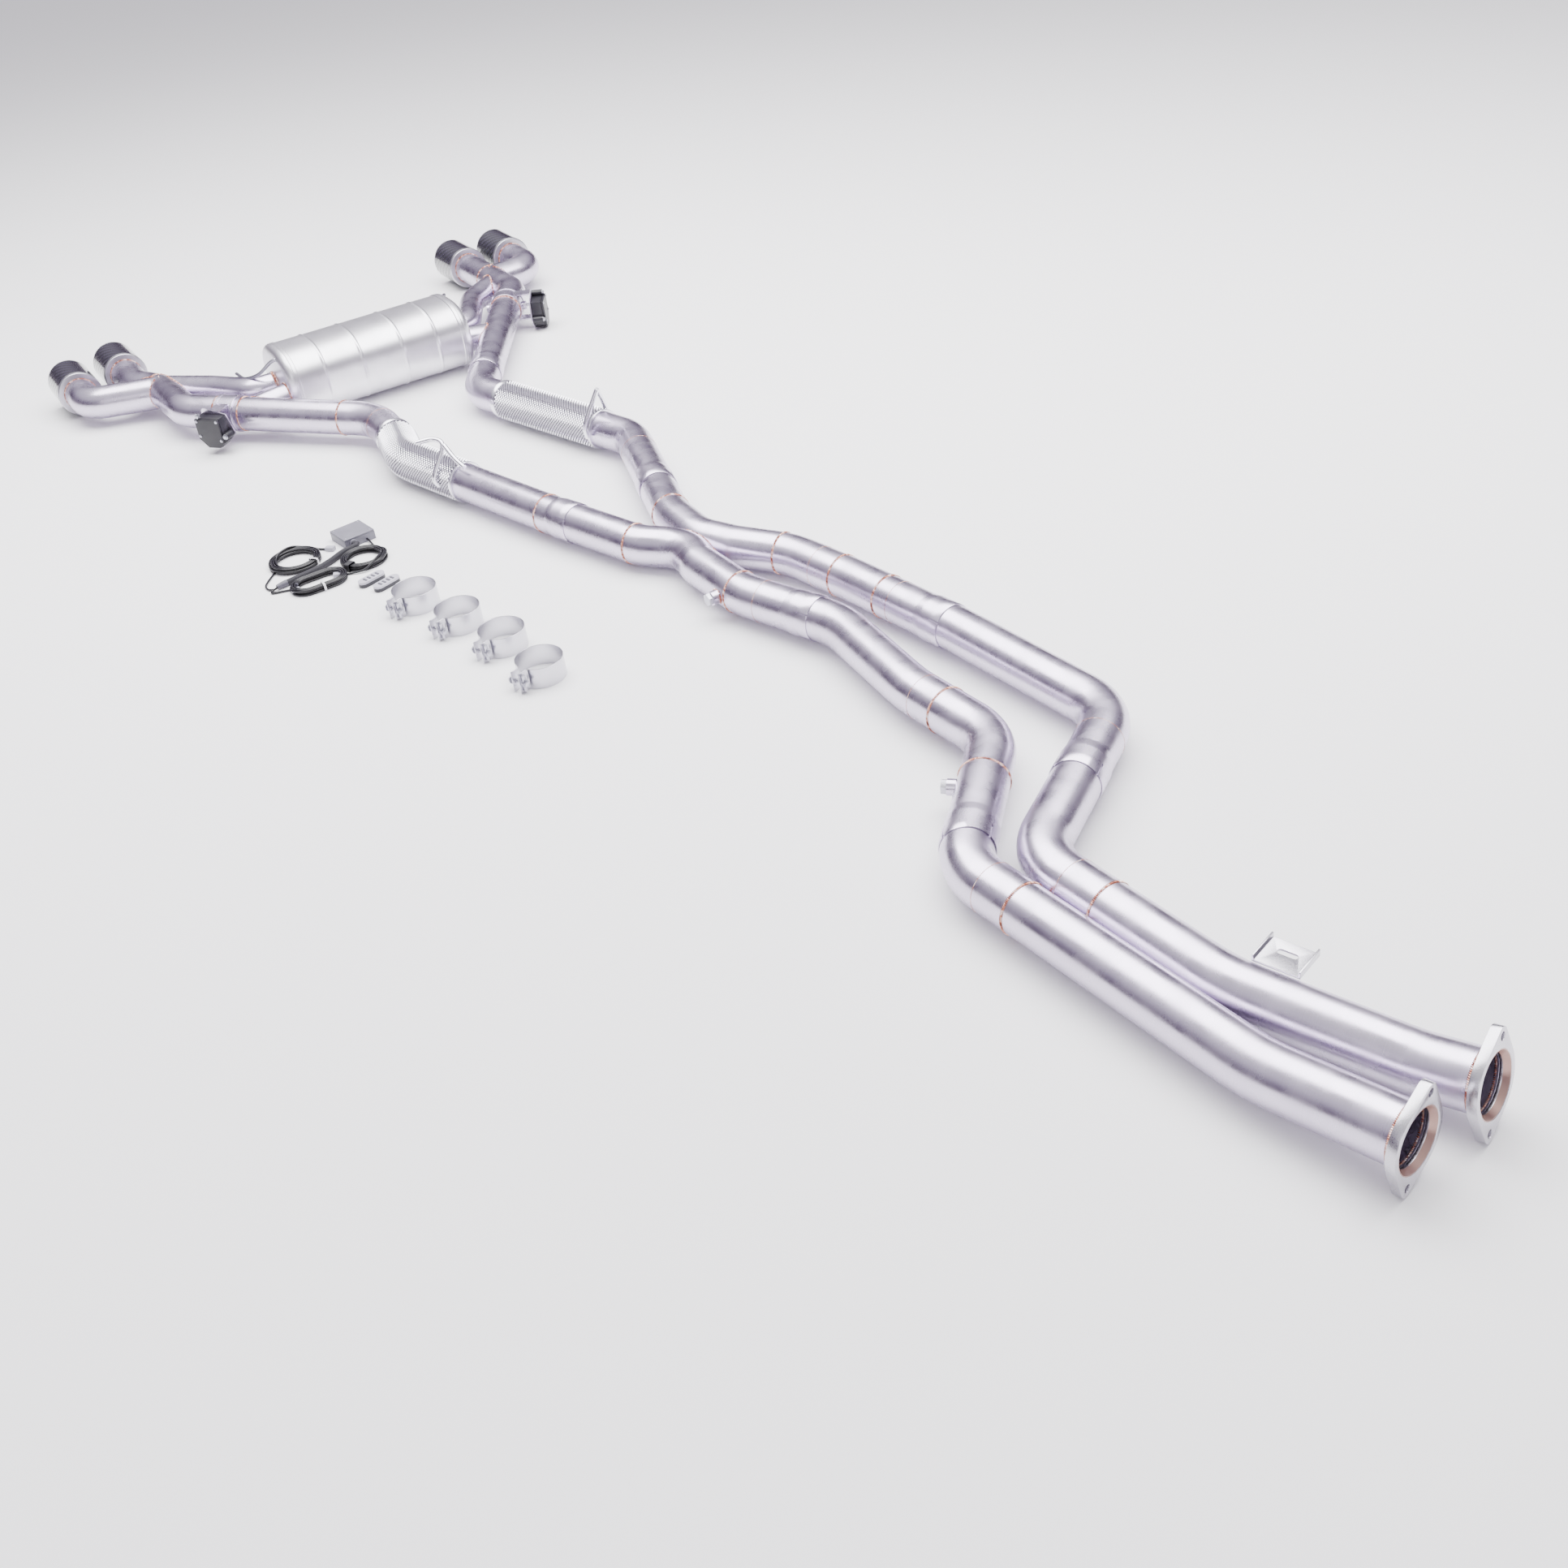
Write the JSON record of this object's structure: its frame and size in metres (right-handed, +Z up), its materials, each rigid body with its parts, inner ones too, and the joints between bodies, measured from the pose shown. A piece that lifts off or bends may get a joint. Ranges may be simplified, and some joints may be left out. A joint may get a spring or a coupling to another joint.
{
  "type": "racing exhaust system",
  "caption": "Rear exhaust system of twin bent stainless pipes joined by an X-pipe, with butterfly valves, a transverse muffler, carbon-sleeved tips, loose band clamps and a valve control kit.",
  "frame": {"origin": "on the floor that the system lies on, under the middle of its outline without the cable looms", "axes": "+X towards the inlet flanges, +Y to the vehicle's left, +Z up"},
  "size_m": [3.7574, 1.295, 0.1665],
  "materials": {
    "pipe_steel": "satin brushed stainless, tinted by heat beside the welds",
    "machined_steel": "machined stainless",
    "muffler_steel": "bright rolled stainless",
    "heat_wrap": "embossed foil heat shield",
    "carbon_fibre": "lacquered twill carbon fibre",
    "black_plastic": "black moulded plastic",
    "remote_shell": "grey moulded plastic",
    "button_rubber": "grey rubber",
    "cable_sheath": "black cable sheath",
    "glass_wool": "pressed glass wool"
  },
  "bodies": {
    "system": {"actuator_case_left": "black_plastic", "actuator_case_right": "black_plastic", "actuator_cover_left": "black_plastic", "actuator_cover_right": "black_plastic", "carbon_sleeve_left_inner": "carbon_fibre", "carbon_sleeve_left_outer": "carbon_fibre", "carbon_sleeve_right_inner": "carbon_fibre", "carbon_sleeve_right_outer": "carbon_fibre", "clamp_band_1": "machined_steel", "clamp_band_2": "machined_steel", "clamp_band_3": "machined_steel", "clamp_band_4": "machined_steel", "controller_case": "black_plastic", "controller_lid": "black_plastic", "front_bracket": "machined_steel", "front_pipe_left": "pipe_steel", "front_pipe_right": "pipe_steel", "heat_wrap_left": "heat_wrap", "heat_wrap_right": "heat_wrap", "inlet_flange_left": "machined_steel", "inlet_flange_right": "machined_steel", "loom_coil_left": "cable_sheath", "loom_coil_right": "cable_sheath", "loom_conduit": "cable_sheath", "loom_hank": "cable_sheath", "mid_pipe_left": "pipe_steel", "mid_pipe_right": "pipe_steel", "muffler_cap_left": "muffler_steel", "muffler_cap_right": "muffler_steel", "muffler_core": "muffler_steel", "muffler_packing": "glass_wool", "muffler_shell": "muffler_steel", "rear_pipe_left": "pipe_steel", "rear_pipe_right": "pipe_steel", "remote_case_1": "remote_shell", "remote_case_2": "remote_shell", "sensor_plug_front": "machined_steel", "sensor_plug_rear": "machined_steel", "tail_pipe_left": "pipe_steel", "tip_liner_left_inner": "machined_steel", "tip_liner_left_outer": "machined_steel", "tip_liner_right_inner": "machined_steel", "tip_liner_right_outer": "machined_steel", "valve_body_left": "pipe_steel", "valve_body_right": "pipe_steel", "x_pipe": "pipe_steel", "y_pipe_left": "pipe_steel", "y_pipe_right": "pipe_steel"},
    "butterfly_right": {"valve_plate_right": "pipe_steel", "valve_shaft_right": "pipe_steel"},
    "butterfly_left": {"valve_plate_left": "pipe_steel", "valve_shaft_left": "pipe_steel"},
    "remote_1_button_1": {"remote_1_button_1": "button_rubber"},
    "remote_1_button_2": {"remote_1_button_2": "button_rubber"},
    "remote_1_button_3": {"remote_1_button_3": "button_rubber"},
    "remote_1_button_4": {"remote_1_button_4": "button_rubber"},
    "remote_2_button_1": {"remote_2_button_1": "button_rubber"},
    "remote_2_button_2": {"remote_2_button_2": "button_rubber"},
    "remote_2_button_3": {"remote_2_button_3": "button_rubber"},
    "remote_2_button_4": {"remote_2_button_4": "button_rubber"}
  },
  "joints": [
    {"name": "valve_right", "type": "hinge", "parent": "system", "child": "butterfly_right", "pos_m": [-1.22774, -0.34733, 0.05927], "axis": [0.6439, -0.7651, 0], "range_deg": [0, 90]},
    {"name": "valve_left", "type": "hinge", "parent": "system", "child": "butterfly_left", "pos_m": [-1.36879, 0.41385, 0.05937], "axis": [0.5239, 0.8518, 0], "range_deg": [0, 90]},
    {"name": "remote_1_button_1_press", "type": "slide", "parent": "system", "child": "remote_1_button_1", "axis": [0, 0, -1], "range_m": [0, 0.0008], "stiffness_N_per_m": 400, "springref_m": -0.0002},
    {"name": "remote_1_button_2_press", "type": "slide", "parent": "system", "child": "remote_1_button_2", "axis": [0, 0, -1], "range_m": [0, 0.0008], "stiffness_N_per_m": 400, "springref_m": -0.0002},
    {"name": "remote_1_button_3_press", "type": "slide", "parent": "system", "child": "remote_1_button_3", "axis": [0, 0, -1], "range_m": [0, 0.0008], "stiffness_N_per_m": 400, "springref_m": -0.0002},
    {"name": "remote_1_button_4_press", "type": "slide", "parent": "system", "child": "remote_1_button_4", "axis": [0, 0, -1], "range_m": [0, 0.0008], "stiffness_N_per_m": 400, "springref_m": -0.0002},
    {"name": "remote_2_button_1_press", "type": "slide", "parent": "system", "child": "remote_2_button_1", "axis": [0, 0, -1], "range_m": [0, 0.0008], "stiffness_N_per_m": 400, "springref_m": -0.0002},
    {"name": "remote_2_button_2_press", "type": "slide", "parent": "system", "child": "remote_2_button_2", "axis": [0, 0, -1], "range_m": [0, 0.0008], "stiffness_N_per_m": 400, "springref_m": -0.0002},
    {"name": "remote_2_button_3_press", "type": "slide", "parent": "system", "child": "remote_2_button_3", "axis": [0, 0, -1], "range_m": [0, 0.0008], "stiffness_N_per_m": 400, "springref_m": -0.0002},
    {"name": "remote_2_button_4_press", "type": "slide", "parent": "system", "child": "remote_2_button_4", "axis": [0, 0, -1], "range_m": [0, 0.0008], "stiffness_N_per_m": 400, "springref_m": -0.0002}
  ]
}
